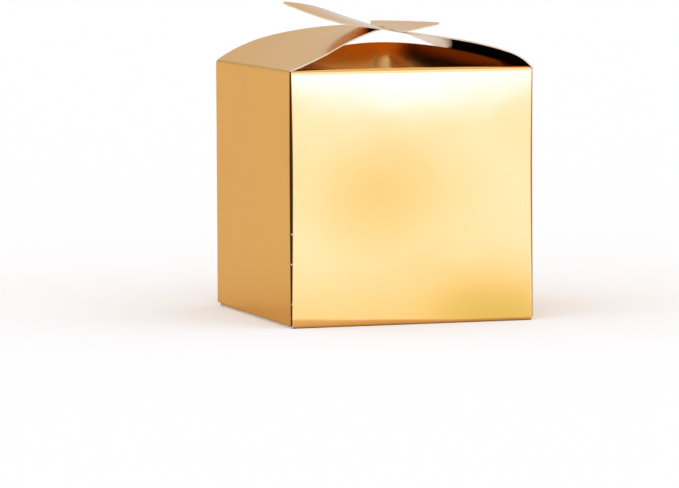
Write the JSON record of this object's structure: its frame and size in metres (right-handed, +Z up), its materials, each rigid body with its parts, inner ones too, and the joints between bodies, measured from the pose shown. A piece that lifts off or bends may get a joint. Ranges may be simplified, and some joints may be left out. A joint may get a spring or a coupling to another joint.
{
  "type": "favor box",
  "caption": "Cube favor box of gold foil-faced board with a glued corner seam, a tuck-in base and a top closed by slotted petals over rounded dust flaps.",
  "frame": {"origin": "centre of the base, on the surface the box stands on", "axes": "+X to the right wall, +Y to the back wall, +Z up through the closed top"},
  "size_m": [0.076, 0.076, 0.0942],
  "materials": {
    "foil_board": "gold metallised foil on both faces of solid board, with a cream core at the cut edges",
    "adhesive": "dry carton glue"
  },
  "bodies": {
    "sleeve": {"front_wall": "foil_board", "right_wall": "foil_board", "back_wall": "foil_board", "left_wall": "foil_board", "front_left_crease": "foil_board", "front_right_crease": "foil_board", "back_right_crease": "foil_board", "back_left_crease": "foil_board", "glue_tab": "foil_board", "seam_adhesive": "adhesive"},
    "left_petal": {"left_petal": "foil_board", "left_petal_wing": "foil_board"},
    "right_petal": {"right_petal": "foil_board", "right_petal_wing": "foil_board"},
    "front_dust_flap": {"front_dust_flap": "foil_board"},
    "back_dust_flap": {"back_dust_flap": "foil_board"},
    "bottom_panel": {"bottom_panel": "foil_board"},
    "tuck_tab": {"tuck_tab": "foil_board"},
    "bottom_left_dust_flap": {"bottom_left_dust_flap": "foil_board"},
    "bottom_right_dust_flap": {"bottom_right_dust_flap": "foil_board"}
  },
  "joints": [
    {"name": "left_petal_fold", "type": "hinge", "parent": "sleeve", "child": "left_petal", "pos_m": [-0.0378, 0, 0.0758], "axis": [0, -1, 0], "range_deg": [0, 140], "deforming": ["left_petal_wing"]},
    {"name": "right_petal_fold", "type": "hinge", "parent": "sleeve", "child": "right_petal", "pos_m": [0.0378, 0, 0.0758], "axis": [0, 1, 0], "range_deg": [0, 140], "deforming": ["right_petal_wing"]},
    {"name": "front_dust_flap_fold", "type": "hinge", "parent": "sleeve", "child": "front_dust_flap", "pos_m": [0, -0.0378, 0.0758], "axis": [1, 0, 0], "range_deg": [0, 119]},
    {"name": "back_dust_flap_fold", "type": "hinge", "parent": "sleeve", "child": "back_dust_flap", "pos_m": [0, 0.0378, 0.0758], "axis": [-1, 0, 0], "range_deg": [0, 119]},
    {"name": "bottom_panel_fold", "type": "hinge", "parent": "sleeve", "child": "bottom_panel", "pos_m": [0, -0.0378, 0.0002], "axis": [-1, 0, 0], "range_deg": [0, 120]},
    {"name": "tuck_tab_fold", "type": "hinge", "parent": "bottom_panel", "child": "tuck_tab", "pos_m": [0, 0.0368, 0.0002], "axis": [1, 0, 0], "range_deg": [0, 45]},
    {"name": "bottom_left_dust_flap_fold", "type": "hinge", "parent": "sleeve", "child": "bottom_left_dust_flap", "pos_m": [-0.0378, 0, 0.00072], "axis": [0, 1, 0], "range_deg": [0, 90]},
    {"name": "bottom_right_dust_flap_fold", "type": "hinge", "parent": "sleeve", "child": "bottom_right_dust_flap", "pos_m": [0.0378, 0, 0.00072], "axis": [0, -1, 0], "range_deg": [0, 90]}
  ],
  "couplings": [
    {"joint": "right_petal_fold", "follows": "left_petal_fold", "ratio": 1},
    {"joint": "front_dust_flap_fold", "follows": "left_petal_fold", "ratio": 0.85},
    {"joint": "back_dust_flap_fold", "follows": "left_petal_fold", "ratio": 0.85},
    {"joint": "bottom_left_dust_flap_fold", "follows": "bottom_panel_fold", "ratio": 0.75},
    {"joint": "bottom_right_dust_flap_fold", "follows": "bottom_panel_fold", "ratio": 0.75}
  ]
}
